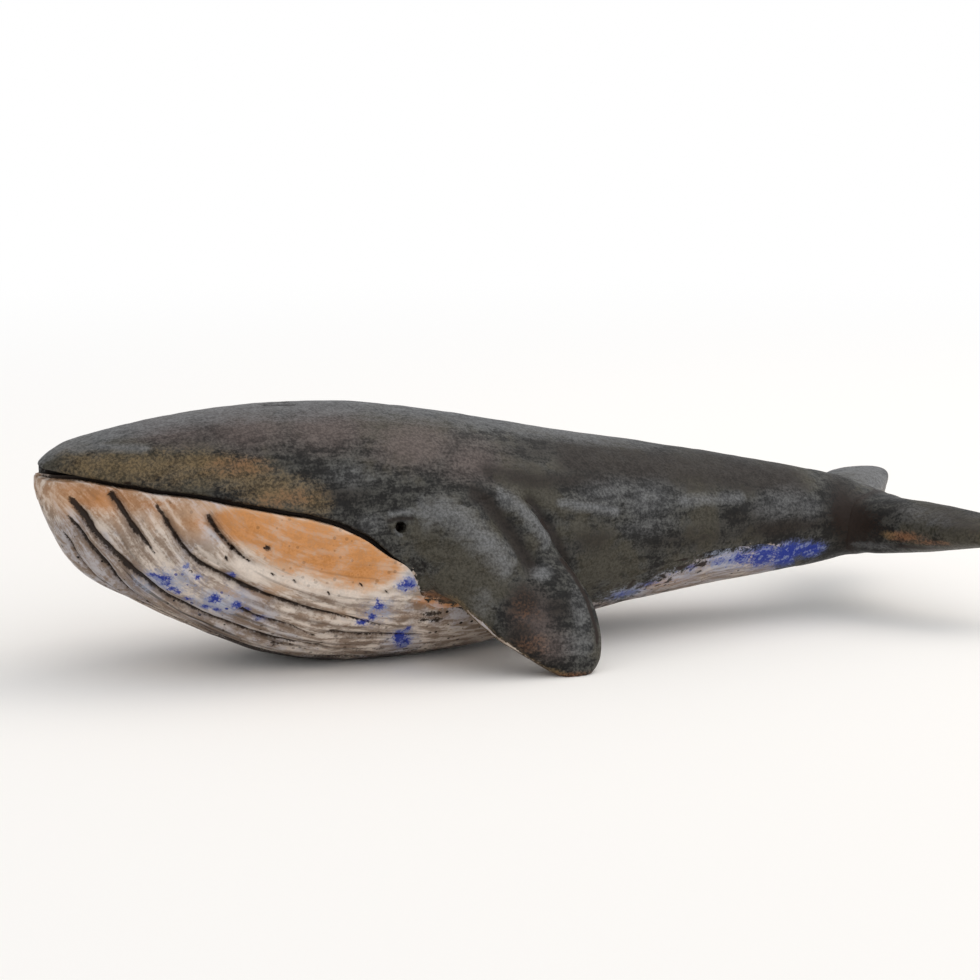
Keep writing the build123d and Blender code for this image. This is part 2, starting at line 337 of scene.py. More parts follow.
class BodyForm:
    """The body's outer form as one smooth skin: a radius for each place along it and angle round it.

    It is read off the two shells, with their cuts filled in. Angles start at the crest and go down the
    whale's left side.
    """

    rows = 480
    columns = 360
    far = 200.0
    cut_depth = 0.3
    cut_reach = 12
    fill_times = 300
    smooth_times = 16

    def __init__(self):
        self.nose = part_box("belly_shell")[0].x / MM
        self.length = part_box("back_shell")[1].x / MM - self.nose
        tree = solid_tree("back_shell", "belly_shell")
        self.x = self.places(self.nose, self.nose + self.length, self.rows)
        self.middle = self.read_middle(tree)
        radius = self.read_radius(tree)
        closed = spread(spread(radius, self.cut_reach, np.maximum), self.cut_reach, np.minimum)
        cut = spread(radius < closed - self.cut_depth, 2, np.logical_or)
        cut[[0, -1]] = False
        for _ in range(self.fill_times):
            radius = np.where(cut, blurred(radius, 1), radius)
        self.radius = blurred(radius, self.smooth_times)

    @staticmethod
    def places(start, end, count):
        """Places from start to end, closer together at the round ends."""
        return start + (end - start) * (1 - np.cos(np.linspace(0, np.pi, count))) / 2

    def read_middle(self, tree):
        """Height half way between crest and keel, for each row."""
        up = Vector((0, 0, 1))
        heights = []
        for x in self.x[1:-1]:
            crest = tree.ray_cast(Vector((x, 0, self.far)), -up)[0].z
            keel = tree.ray_cast(Vector((x, 0, -self.far)), up)[0].z
            heights.append((crest + keel) / 2)
        return np.array([heights[0], *heights, heights[-1]])

    def read_radius(self, tree):
        """Radius at each row and angle, met from outside."""
        radius = np.zeros((self.rows, self.columns))
        angles = np.arange(self.columns) * 2 * np.pi / self.columns
        outward = [Vector((0, -math.sin(a), math.cos(a))) for a in angles]
        for i in range(1, self.rows - 1):
            centre = Vector((self.x[i], 0, self.middle[i]))
            for j, way in enumerate(outward):
                hit = tree.ray_cast(centre + way * self.far, -way)[0]
                radius[i, j] = (hit - centre).length if hit else 0
        return radius

    def middle_at(self, x):
        """Height half way between crest and keel, at each place."""
        return np.interp(x, self.x, self.middle)

    def radius_at(self, x, angle):
        """The form's radius at each place and angle."""
        turn = np.arccos(np.clip(1 - 2 * (x - self.nose) / self.length, -1, 1))
        row = turn / np.pi * (self.rows - 1)
        i = np.clip(row.astype(int), 0, self.rows - 2)
        s = row - i
        column = angle / (2 * np.pi) * self.columns
        j = np.floor(column).astype(int)
        t = column - j
        j, k = j % self.columns, (j + 1) % self.columns
        low = self.radius[i, j] * (1 - t) + self.radius[i, k] * t
        high = self.radius[i + 1, j] * (1 - t) + self.radius[i + 1, k] * t
        return low * (1 - s) + high * s

    def point(self, x, angle, radius):
        """The points at these places, angles and radii."""
        return np.stack([x, -radius * np.sin(angle), self.middle_at(x) + radius * np.cos(angle)], -1)

    def angle_of(self, points):
        """The angle of each point round the form."""
        x, y, z = points.T
        return np.arctan2(-y, z - self.middle_at(x)) % (2 * np.pi)

    def distance(self, points):
        """How far each point stands off the form; less than zero inside it."""
        x, y, z = points.T
        angle = self.angle_of(points)
        radius = self.radius_at(x, angle)
        along = self.radius_at(x + 1, angle) - self.radius_at(x - 1, angle)
        turn = 0.02
        around = self.radius_at(x, angle + turn) - self.radius_at(x, angle - turn)
        lean = np.hypot(along / 2, around / (2 * turn * np.maximum(radius, 1)))
        return (np.hypot(y, z - self.middle_at(x)) - radius) / np.hypot(1, lean)

    def outward(self, points):
        """The way straight out of the form at each point."""
        x = points[:, 0]
        angle = self.angle_of(points)
        along = (self.radius_at(x + 1, angle) - self.radius_at(x - 1, angle)) / 2
        way = np.stack([-along, -np.sin(angle), np.cos(angle)], 1)
        return way / np.linalg.norm(way, axis=1, keepdims=True)

    def line(self, stops):
        """A smooth line on the left side of the form, through places and degrees round it."""
        x = np.arange(stops[0][0], stops[-1][0], LINE_STEP)
        angle = np.radians(smooth_curve(stops, x))
        return self.point(x, angle, self.radius_at(x, angle))

    def spot(self, x, degrees):
        """The point of the form at one place and angle."""
        x, angle = np.array([float(x)]), np.radians([float(degrees)])
        return self.point(x, angle, self.radius_at(x, angle))[0]


body = BodyForm()


def length(name, description, size):
    """A length property, its default given in mm."""
    return bpy.props.FloatProperty(name=name, description=description, default=size * MM, unit="LENGTH")


def colour(name, description, value):
    """A colour property."""
    return bpy.props.FloatVectorProperty(
        name=name, description=description, subtype="COLOR", size=4, min=0, max=1, default=(*value, 1))


class WhaleClay(bpy.types.PropertyGroup):
    """Sizes of what is worked into the clay."""

    wall: length("Wall", "Thickness of the two shells", 7)
    mouth_gap: length("Mouth Gap", "Height of the slit between the lips", 1.5)
    mouth_depth: length("Mouth Depth", "How far the slit goes in", 4)
    lip_round: length("Lip Rounding", "Radius of the edge of each lip", 0.9)
    pleat_half: length("Pleat Half Width", "Half the width of a full throat pleat's dark line", 1.15)
    pleat_depth: length("Pleat Depth", "Depth of a throat pleat's cut", 1.2)
    eye_width: length("Eye Width", "Width of the pierced eye and its soft edge", 3.2)
    eye_depth: length("Eye Depth", "Depth of the pierced eye that can be seen", 4.5)
    lump_size: length("Lump Size", "Breadth of the lumps left by the hands", 26)
    lump_height: length("Lump Height", "Height of the lumps left by the hands", 0.7)
    dent_size: length("Dent Size", "Breadth of the small dents left by fingers", 7)
    dent_height: length("Dent Height", "Height of the small dents left by fingers", 0.35)
    shoulder_blend: length("Shoulder Blend", "Width of the clay smoothed over a flipper's root", 13)
    crease_blend: length("Crease Blend", "Width of the crease behind a flipper", 2.2)
    tail_blend: length("Tail Blend", "Width of the clay smoothed over a fluke's root", 5)


class WhaleGlaze(bpy.types.PropertyGroup):
    """Colours of the fired glazes and slips."""

    charcoal: colour("Charcoal", "Darkest part of the oxide glaze", (0.007, 0.006, 0.005))
    ash: colour("Ash", "Palest part of the oxide glaze", (0.058, 0.056, 0.049))
    olive: colour("Olive", "Thin oxide glaze", (0.050, 0.042, 0.026))
    umber: colour("Umber", "Purple brown over the head", (0.098, 0.074, 0.066))
    # Peat: dark brown glaze in the hollows, and also painted shade in the crease at the fluke roots
    peat_and_shade: colour("Peat", "Dark brown in the hollows", (0.014, 0.009, 0.006))
    ochre: colour("Ochre", "Glaze worn thin along the upper lip", (0.160, 0.108, 0.050))
    rust: colour("Rust", "Iron spots", (0.185, 0.080, 0.034))
    # Haze: a blue grey bloom, and also a painted highlight along the crest, the snout's edge, the brow and
    # lid and the pinched ridges
    haze_and_sheen: colour("Haze", "Blue grey bloom", (0.136, 0.136, 0.137))
    # Soot: oxide in the pleat lines and fine specks, and also painted shade, near black in the mouth's slit,
    # the pierced eye, the blowhole, the pinholes and chips, the creases at the flipper and fluke roots,
    # along the flipper's trailing edge and under the belly
    soot_and_shade: colour("Soot", "Oxide left in cuts", (0.014, 0.007, 0.004))
    # Wash: brown oxide rubbed over the slip, and painted shade beside the pleats, under the belly and at its
    # rear
    wash_and_shade: colour("Wash", "Brown oxide rubbed over the slip", (0.125, 0.080, 0.055))
    slip: colour("Slip", "Pale slip of the throat", (0.660, 0.565, 0.485))
    clay: colour("Clay", "Grey clay under thin slip", (0.310, 0.235, 0.180))
    toast: colour("Toast", "Slip toasted orange by the fire", (0.480, 0.185, 0.038))
    blush: colour("Blush", "Slip toasted only lightly", (0.590, 0.355, 0.205))
    cobalt: colour("Cobalt", "Cobalt flecks", (0.007, 0.022, 0.220))
    bleed: colour("Bleed", "Cobalt where it has run into the slip", (0.120, 0.165, 0.400))
    milk: colour("Milk", "Pale blue round the cobalt", (0.330, 0.365, 0.465))


class WhaleStage(bpy.types.PropertyGroup):
    """Camera, floor and light."""

    azimuth: bpy.props.FloatProperty(
        name="Azimuth", description="Camera's turn from the whale's left side",
        default=math.radians(-22), subtype="ANGLE")
    elevation: bpy.props.FloatProperty(
        name="Elevation", description="Camera's tilt above the table",
        default=math.radians(10), subtype="ANGLE")
    distance: length("Distance", "Camera's distance from its target", 800)
    target: bpy.props.FloatVectorProperty(
        name="Target", description="Point in the middle of the picture",
        default=(-0.01225, 0, 0.04504), subtype="XYZ")
    lens: bpy.props.FloatProperty(
        name="Lens", description="Focal length on a 36 mm sensor", default=99, unit="CAMERA")
    floor: colour("Floor", "Paper of the floor", (0.965, 0.93, 0.885))
    floor_size: length("Floor Size", "Side of the sheet of paper", 5000)
    white_from: length("White From", "How far from the whale the floor starts to turn white", 140)
    white_to: length("White To", "How far from the whale the floor is plain white", 1150)
    sky_top: bpy.props.FloatProperty(
        name="Room Light Above", description="Strength of the even light from overhead", default=0.74)
    sky_side: bpy.props.FloatProperty(
        name="Room Light Around", description="Strength of the even light from the sides", default=0.62)
    sky_colour: colour("Room Colour", "Colour of the even light", (0.945, 0.968, 1.0))
    window_light: bpy.props.FloatProperty(
        name="Window Light", description="Strength added by the window", default=0.82)
    window_way: bpy.props.FloatVectorProperty(
        name="Window", description="The way to the window, off the whale's left side and towards its tail",
        default=(0.6, -0.75, 0.28), subtype="DIRECTION")
    key_colour: colour("Softbox Colour", "Colour of the softbox", (1.0, 0.93, 0.85))
    key_power: bpy.props.FloatProperty(
        name="Softbox Power", description="Power of the overhead softbox", default=2.5, unit="POWER")
    key_size: length("Softbox Size", "Side of the overhead softbox", 800)
    key_place: bpy.props.FloatVectorProperty(
        name="Softbox Place", description="Place of the overhead softbox",
        default=(0.5, 0.1, 0.9), subtype="XYZ")


def in_mm(size):
    """A length property's value in mm."""
    return size / MM


def start_alone():
    """Leaves nothing selected, so that an operator acts on the new piece alone."""
    if bpy.context.mode != "OBJECT":
        bpy.ops.object.mode_set(mode="OBJECT")
    bpy.ops.object.select_all(action="DESELECT")


def read_points(piece):
    """The piece's points in mm, and its outward directions."""
    mesh = piece.data
    points = np.empty(len(mesh.vertices) * 3, np.float32)
    outward = np.empty(len(mesh.vertices) * 3, np.float32)
    mesh.vertices.foreach_get("co", points)
    mesh.vertex_normals.foreach_get("vector", outward)
    return points.reshape(-1, 3).astype(float) / MM, outward.reshape(-1, 3).astype(float)


def write_points(piece, points):
    """Moves the piece's points to these, given in mm."""
    piece.data.vertices.foreach_set("co", (points * MM).astype(np.float32).ravel())
    piece.data.update()


def write_paint(piece, name, amount):
    """Keeps an amount from 0 to 1 for each point, for a material to read."""
    layer = piece.data.attributes.new(name, "FLOAT", "POINT")
    layer.data.foreach_set("value", np.clip(amount, 0, 1).astype(np.float32))


def push(piece, amount):
    """Moves each point along its outward direction, by mm."""
    points, outward = read_points(piece)
    write_points(piece, points + outward * amount[:, None])


def push_shell(piece, amount):
    """Moves each point of a shell straight out of the body's form, by mm, so that the shells still meet."""
    points, _ = read_points(piece)
    write_points(piece, points + body.outward(points) * amount[:, None])


def stand_on_floor(piece):
    """Flattens what would go through the floor."""
    points, _ = read_points(piece)
    points[:, 2] = np.maximum(points[:, 2], 0)
    write_points(piece, points)


def left_side(points):
    """The points brought over to the whale's left side, which the lines and dabs are given for."""
    x, y, z = points.T
    return np.stack([x, -np.abs(y), z], 1)


def bell(gap, width):
    """1 where there is no gap, falling off softly over a width."""
    return np.exp(-(gap / width) ** 2)


def tapered(along, start, end):
    """1 along a line, falling to 0 at its two ends over these shares of its length."""
    return ease(0, start, along) * (1 - ease(1 - end, 1, along))


def gap_to_line(points, line, reach):
    """Distance of each point from a line, and how far along it the nearest place is, from 0 to 1."""
    gap = np.full(len(points), float(reach))
    along = np.zeros(len(points))
    low, high = line.min(0) - reach, line.max(0) + reach
    near = np.nonzero(((points > low) & (points < high)).all(1))[0]
    for block in np.array_split(near, len(near) // 4000 + 1):
        square = ((points[block, None] - line[None]) ** 2).sum(2)
        place = square.argmin(1)
        gap[block] = np.minimum(np.sqrt(square[np.arange(len(block)), place]), reach)
        along[block] = place / (len(line) - 1)
    return gap, along


def side_gap(points, stops, reach):
    """Distance of each point from a line seen from the side, and how far along it the nearest place is."""
    x, z = np.array(stops, float).T
    run = np.concatenate([[0], np.cumsum(np.hypot(np.diff(x), np.diff(z)))])
    at = np.arange(0, run[-1], LINE_STEP)
    line = np.stack([np.interp(at, run, x), 0 * at, np.interp(at, run, z)], 1)
    return gap_to_line(points * (1, 0, 1), line, reach)


def stroke(points, stops, width, strength):
    """Glaze brushed along a line seen from the side, thin at its two ends."""
    gap, along = side_gap(points, stops, 3 * width)
    return strength * bell(gap, width) * tapered(along, 0.12, 0.12)


def dabs(points, spots):
    """Glaze dabbed on: place along the whale, height, half length, half height and strength of each dab."""
    x, _, z = points.T
    amount = np.zeros(len(points))
    for spot_x, spot_z, half_length, half_height, strength in spots:
        near = np.exp(-((x - spot_x) / half_length) ** 2 - ((z - spot_z) / half_height) ** 2)
        amount = np.maximum(amount, strength * near)
    return amount


def paint_over(piece, points, dabbed, brushed, masks):
    """Paints each glaze on a piece: the most of its dabs, its strokes and the masks made for it."""
    for name in dict.fromkeys([*masks, *brushed, *dabbed]):
        amounts = [dabs(points, dabbed.get(name, []))]
        amounts += [stroke(points, *line) for line in brushed.get(name, [])]
        amounts += masks.get(name, [])
        write_paint(piece, name, np.maximum.reduce(amounts))


def pinched(points, outward):
    """Clay pinched up and pressed in over the shoulders and flanks."""
    left = left_side(points)
    facing = ease(0.1, 0.5, -outward[:, 1] * np.where(points[:, 1] > 0, -1, 1))
    height = np.zeros(len(points))
    for rise, width, stops in PINCHES:
        gap, along = side_gap(left, stops, 3 * width)
        height += rise * tapered(along, 0.25, 0.25) * bell(gap, width)
    return height * facing


def throat_flow(points):
    """A number that stays the same along a pleat and grows from the lip down, from 0 to 1."""
    x = points[:, 0]
    angle = np.degrees(body.angle_of(points))
    lines = np.array([smooth_curve(stops, x) for stops in THROAT_FLOW])
    flow = np.minimum(angle - lines[0], 0) / 12 + np.maximum(angle - lines[-1], 0) / 12
    for upper, lower in zip(lines[:-1], lines[1:]):
        flow += np.clip((angle - upper) / np.maximum(lower - upper, 1), 0, 1)
    return (flow + 3) / 12


def below_brush_line(points):
    """How far under the brush's stopping line a point is: half at the line, all and none 4 mm from it."""
    x, _, z = points.T
    return np.clip(0.5 + (smooth_curve(BRUSH_LINE, x) - z) / 8, 0, 1)


def gap_to_solid(points, node, reach):
    """Distance of each point from a node's solid, no more than reach."""
    tree = solid_tree(node)
    gap = np.full(len(points), float(reach))
    low, high = (np.array(corner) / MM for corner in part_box(node))
    near = ((points > low - reach) & (points < high + reach)).all(1)
    for i in np.nonzero(near)[0]:
        found = tree.find_nearest(Vector(points[i]), reach)
        if found[0]:
            gap[i] = found[3]
    return gap


def blend_out(gap, width):
    """How far a surface swells where it comes near another, so that the two run together."""
    return np.where(gap < width, (width - np.maximum(gap, 0)) ** 2 / (4 * width), 0)


def skin_and_slit(points):
    """What is on a shell's outside, and what is inside the slit of the mouth, from 0 to 1."""
    off = body.distance(points)
    return ease(-3, -1, off), 1 - ease(-2.6, -0.6, off)


def seam_height(x):
    """Height of the mouth, and of the seam behind it, at each place."""
    return smooth_curve(MOUTH_AND_SEAM, x)


def open_mouth(x):
    """1 where the mouth is open, and 0 behind its corner."""
    return 1 - ease(MOUTH_CORNER - 9, MOUTH_CORNER, x)


def off_the_seam(points):
    """0 on the seam behind the mouth and 1 well off it, so that the two shells still meet there."""
    x, _, z = points.T
    return np.maximum(open_mouth(x), ease(0, 4, np.abs(z - seam_height(x))))


def lip_angle(x, height):
    """Angle from the crest at which the form comes down to a height, from 0 to half a turn."""
    angles = np.linspace(0, np.pi, 721)
    grid_x, grid_angle = np.meshgrid(x, angles, indexing="ij")
    level = body.middle_at(grid_x) + body.radius_at(grid_x, grid_angle) * np.cos(grid_angle)
    below = level < height[:, None]
    first = np.where(below.any(1), below.argmax(1), len(angles) - 1)
    before = np.maximum(first - 1, 0)
    row = np.arange(len(x))
    drop = np.maximum(level[row, before] - level[row, first], 1e-9)
    share = np.clip((level[row, before] - height) / drop, 0, 1)
    angle = angles[before] + (angles[first] - angles[before]) * share
    return np.where(below.any(1), angle, np.pi)


def outer_skin(x, near, far, columns, clay, way):
    """The outside of a shell from lip to lip, closer together at the lips, whose edges are rounded off."""
    sweep = np.abs(far - near)
    lip_radius = np.maximum(body.radius_at(x, near), 0.5)
    room = np.minimum(1, sweep * lip_radius / 8)[:, None]
    inset = LIP_INSETS[None] * room
    step = inset / lip_radius[:, None] * way
    share = np.linspace(0, 1, columns + 2)[1:-1]
    start, end = near + step[:, -1], far - step[:, -1]
    middle = start[:, None] + (end - start)[:, None] * share[None]
    angles = np.concatenate([near[:, None] + step, middle, (far[:, None] - step)[:, ::-1]], 1)
    rounding = (in_mm(clay.lip_round) * open_mouth(x))[:, None] * room
    rounding = np.where(sweep[:, None] > WHOLE_TURN, 1e-6, np.maximum(rounding, 1e-6))
    into = np.clip(1 - inset / rounding, 0, 1)
    pull = rounding * (1 - np.sqrt(1 - into ** 2))
    pulls = np.concatenate([pull, np.zeros_like(middle), pull[:, ::-1]], 1)
    rows = np.repeat(x[:, None], angles.shape[1], 1)
    return body.point(rows, angles, np.maximum(body.radius_at(rows, angles) - pulls, 0))


def inner_lining(x, near, far, outside, clay, lip, meeting):
    """The way back along the inside of a shell: in over one lip, round the hollow and out over the other."""
    depth, wall = in_mm(clay.mouth_depth), in_mm(clay.wall)
    steps = [(depth / 2, lip), (depth, lip), (depth, meeting), (wall, meeting)]
    walls = []
    for point in (outside[:, -1], outside[:, 0]):
        width, side = np.abs(point[:, 1]), np.sign(point[:, 1])
        walls.append([np.stack([x, side * np.maximum(width - d, 0), z], -1) for d, z in steps])
    share = np.linspace(0, 1, HOLLOW_COLUMNS + 2)[1:-1]
    angles = far[:, None] + (near - far)[:, None] * share[None]
    rows = np.repeat(x[:, None], len(share), 1)
    thick = body.radius_at(rows, angles)
    hollow = body.point(rows, angles, np.maximum(thick - wall, 0.2 * thick))
    return np.concatenate([np.stack(walls[0], 1), hollow, np.stack(walls[1][::-1], 1)], 1)


def lay_grid(name, profile):
    """A plain grid laid round the rows of a profile, its doubles merged and its faces turned outwards."""
    start_alone()
    count, around = profile.shape[0] - 1, profile.shape[1] - 1
    bpy.ops.mesh.primitive_grid_add(x_subdivisions=count, y_subdivisions=around, size=1)
    piece = bpy.context.object
    piece.name = name
    flat, _ = read_points(piece)
    i = np.rint((flat[:, 0] * MM + 0.5) * count).astype(int)
    j = np.rint((flat[:, 1] * MM + 0.5) * around).astype(int)
    write_points(piece, profile[i, j])
    bpy.ops.object.mode_set(mode="EDIT")
    bpy.ops.mesh.select_all(action="SELECT")
    bpy.ops.mesh.remove_doubles(threshold=2e-6)
    bpy.ops.mesh.normals_make_consistent(inside=False)
    bpy.ops.object.mode_set(mode="OBJECT")
    return piece


def make_shell(name, clay, x, columns, lower):
    """A shell with rounded lips: a row runs over the outside, in through a lip and back inside.

    The rows follow x, and the lower shell goes under the keel and the upper one over the crest.
    """
    way = 1 if lower else -1
    gap = in_mm(clay.mouth_gap) * open_mouth(x)
    lip = seam_height(x) - gap / 2 * way
    if lower:
        lip -= CHIN_DROP * (1 - ease(body.nose, body.nose + CHIN_LENGTH, x))
    meeting = lip + gap / 2 * way
    near = lip_angle(x, lip)
    far = 2 * np.pi - near if lower else -near
    outside = outer_skin(x, near, far, columns, clay, way)
    inside = inner_lining(x, near, far, outside, clay, lip, meeting)
    sweep = np.abs(far - near)
    ended = (sweep > WHOLE_TURN) | (sweep < 2 * np.pi - WHOLE_TURN)
    inside[ended] = outside[ended, :1]
    return lay_grid(name, np.concatenate([outside, inside, outside[:, :1]], 1))


def refine(piece, chosen, cuts):
    """Cuts the faces round the chosen points finer."""
    mesh = piece.data
    mesh.vertices.foreach_set("select", chosen)
    edges = np.empty(len(mesh.edges) * 2, np.int32)
    mesh.edges.foreach_get("vertices", edges)
    mesh.edges.foreach_set("select", chosen[edges.reshape(-1, 2)].all(1))
    mesh.polygons.foreach_set("select", np.zeros(len(mesh.polygons), bool))
    bpy.ops.object.mode_set(mode="EDIT")
    bpy.ops.mesh.select_mode(type="VERT")
    bpy.ops.mesh.subdivide(number_cuts=cuts)
    bpy.ops.object.mode_set(mode="OBJECT")


def knead(piece, clay, share=None):
    """Broad lumps and small dents, as hands leave them; share is how much of them each point takes."""
    worked = piece.vertex_groups.new(name="worked")
    amounts = np.ones(len(piece.data.vertices)) if share is None else share
    for level in range(1, 11):
        chosen = np.nonzero(np.rint(amounts * 10) == level)[0]
        worked.add(chosen.tolist(), level / 10, "REPLACE")
    for size, height in ((clay.lump_size, clay.lump_height), (clay.dent_size, clay.dent_height)):
        texture = bpy.data.textures.new("clay lumps", "CLOUDS")
        texture.noise_scale = size
        texture.noise_depth = 1
        lumps = piece.modifiers.new("lumps", "DISPLACE")
        lumps.texture = texture
        lumps.texture_coords = "LOCAL"
        lumps.strength = height
        lumps.vertex_group = "worked"
        bpy.ops.object.modifier_apply(modifier="lumps")


def soft_root(points, clay):
    """Width of the blend at a flipper's root: broad over the shoulder, narrow behind and below it."""
    x, _, z = points.T
    trailing_edge = 13 - 0.55 * z
    over = (1 - ease(-15, -4, x - trailing_edge)) * ease(16, 27, z)
    return in_mm(clay.crease_blend) + in_mm(clay.shoulder_blend - clay.crease_blend) * over


def swell_to_limbs(piece, clay):
    """Swells a shell where the flippers and flukes join it."""
    points, _ = read_points(piece)
    left = left_side(points)
    gap = gap_to_solid(left, "left_flipper", in_mm(clay.shoulder_blend))
    out = blend_out(gap, soft_root(left, clay))
    tail_width = in_mm(clay.tail_blend)
    for node in ("left_fluke", "right_fluke"):
        gap = gap_to_solid(points, node, tail_width)
        out = np.maximum(out, blend_out(gap, tail_width))
    push_shell(piece, out * skin_and_slit(points)[0])


def finish_piece(piece, material, node):
    """Smooth shading, glaze, and its place in the frame."""
    bpy.ops.object.shade_smooth_by_angle(angle=math.radians(50))
    piece.data.materials.clear()
    piece.data.materials.append(material)
    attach(piece, "root")
    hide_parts(node)


def put(tree, kind, inputs=None, **settings):
    """A new node with its settings, and each input set to a value or linked to a socket."""
    made = tree.nodes.new(kind)
    for name, value in settings.items():
        setattr(made, name, value)
    for name, value in (inputs or {}).items():
        if isinstance(value, bpy.types.NodeSocket):
            tree.links.new(value, made.inputs[name])
        else:
            made.inputs[name].default_value = value
    return made


def maths(tree, operation, *values):
    """One sum on numbers or sockets."""
    return put(tree, "ShaderNodeMath", dict(enumerate(values)), operation=operation).outputs[0]


def blend_of(tree, *shares):
    """Several values added up, each by its share."""
    total = 0.0
    for value, share in shares:
        total = maths(tree, "MULTIPLY_ADD", value, share, total)
    return total


def between(tree, amount, low, high):
    """A value that goes from low to high by an amount."""
    return put(tree, "ShaderNodeMix", {0: amount, 2: low, 3: high}, data_type="FLOAT").outputs[0]


def mixed(tree, amount, under, over, blend="MIX"):
    """One colour laid over another by an amount."""
    made = put(tree, "ShaderNodeMix", {0: amount, 6: under, 7: over}, data_type="RGBA", blend_type=blend)
    return made.outputs[2]


def stretched(tree, value, low, high, to_low=0.0, to_high=1.0):
    """A value eased from one range to another."""
    inputs = {"Value": value, "From Min": low, "From Max": high, "To Min": to_low, "To Max": to_high}
    return put(tree, "ShaderNodeMapRange", inputs, interpolation_type="SMOOTHSTEP").outputs[0]


def noisy(tree, vector, scale, detail, roughness):
    """A smooth random value over a vector."""
    inputs = {"Vector": vector, "Scale": scale, "Detail": detail, "Roughness": roughness}
    return put(tree, "ShaderNodeTexNoise", inputs).outputs[0]


def paint_of(tree, name):
    """The amount that a piece's points hold under that name."""
    return put(tree, "ShaderNodeAttribute", attribute_name=name).outputs["Fac"]


def new_group(name, inputs, outputs):
    """An empty shader group with its sockets, and the nodes at its two ends."""
    group = bpy.data.node_groups.new(name, "ShaderNodeTree")
    for socket, kind in inputs:
        group.interface.new_socket(socket, in_out="INPUT", socket_type=kind)
    for socket, kind in outputs:
        group.interface.new_socket(socket, in_out="OUTPUT", socket_type=kind)
    return group, group.nodes.new("NodeGroupInput"), group.nodes.new("NodeGroupOutput")


def fired_mottle():
    """Uneven firing: broad clouds, brush strokes along the whale, mottling, fine grain and specks."""
    group = bpy.data.node_groups.get("Fired Mottle")
    if group:
        return group
    number = "NodeSocketFloat"
    group, ins, outs = new_group(
        "Fired Mottle", [("Vector", "NodeSocketVector"), ("Scale", number)],
        [(name, number) for name in ("Cloud", "Brush", "Mottle", "Grain", "Speck")])
    place = put(group, "ShaderNodeVectorMath", {
        0: ins.outputs["Vector"], "Scale": ins.outputs["Scale"]}, operation="SCALE").outputs[0]
    along = put(group, "ShaderNodeVectorMath", {0: place, 1: (0.2, 1, 1)}, operation="MULTIPLY").outputs[0]
    for name, vector, scale, detail, low, high in (
            ("Cloud", place, 38.0, 4.0, 0.36, 0.64), ("Brush", along, 400.0, 4.0, 0.34, 0.66),
            ("Mottle", place, 340.0, 5.0, 0.34, 0.66), ("Grain", place, 1300.0, 3.0, 0.32, 0.68)):
        uneven = noisy(group, vector, scale, detail, 0.66)
        group.links.new(stretched(group, uneven, low, high), outs.inputs[name])
    cells = put(group, "ShaderNodeTexVoronoi", {"Vector": place, "Scale": 520.0})
    chosen = put(group, "ShaderNodeSeparateColor", {0: cells.outputs["Color"]}).outputs[0]
    size = stretched(group, chosen, 0.35, 1.0, 0.0, 0.34)
    inside = maths(group, "SUBTRACT", size, cells.outputs["Distance"])
    group.links.new(stretched(group, inside, 0.0, 0.08), outs.inputs["Speck"])
    return group


def glaze_patch():
    """Turns a painted amount into a patch whose edge breaks up with the mottling."""
    group = bpy.data.node_groups.get("Glaze Patch")
    if group:
        return group
    number = "NodeSocketFloat"
    names = ("Paint", "Mottle", "Break", "Soft", "Cover")
    group, ins, outs = new_group("Glaze Patch", [(name, number) for name in names], [("Mask", number)])
    paint, mottle, breaking, soft, cover = (ins.outputs[name] for name in names)
    broken = maths(group, "MULTIPLY_ADD", maths(group, "SUBTRACT", mottle, 0.5), breaking, paint)
    edge = stretched(group, broken, maths(group, "SUBTRACT", 0.5, soft), maths(group, "ADD", 0.5, soft))
    kept = maths(group, "MULTIPLY", edge, stretched(group, paint, 0.02, 0.25))
    group.links.new(maths(group, "MULTIPLY", kept, cover), outs.inputs["Mask"])
    return group


def patch(tree, paint, mottle, breaking, soft, cover):
    """The mask of one patch of glaze."""
    inputs = {
        "Paint": paint_of(tree, paint), "Mottle": mottle, "Break": breaking, "Soft": soft, "Cover": cover}
    return put(tree, "ShaderNodeGroup", inputs, node_tree=glaze_patch()).outputs["Mask"]


def fine_mottle(tree, fired):
    """The smallest mottling, over half of it grain."""
    return blend_of(tree, (fired["Mottle"], 0.45), (fired["Grain"], 0.55))


def combed(tree, along, fineness, lines, detail, roughness):
    """Noise drawn out along the pleats: how fine it is along them, and how many lines it makes across."""
    flow = maths(tree, "MULTIPLY", paint_of(tree, "flow"), lines)
    place = put(tree, "ShaderNodeCombineXYZ", {0: maths(tree, "MULTIPLY", along, fineness), 1: flow})
    return noisy(tree, place.outputs[0], 1.0, detail, roughness)


def new_material(name):
    """A plain material, its nodes and its shader."""
    material = bpy.data.materials.new(name)
    material.use_nodes = True
    tree = material.node_tree
    return material, tree, tree.nodes["Principled BSDF"]


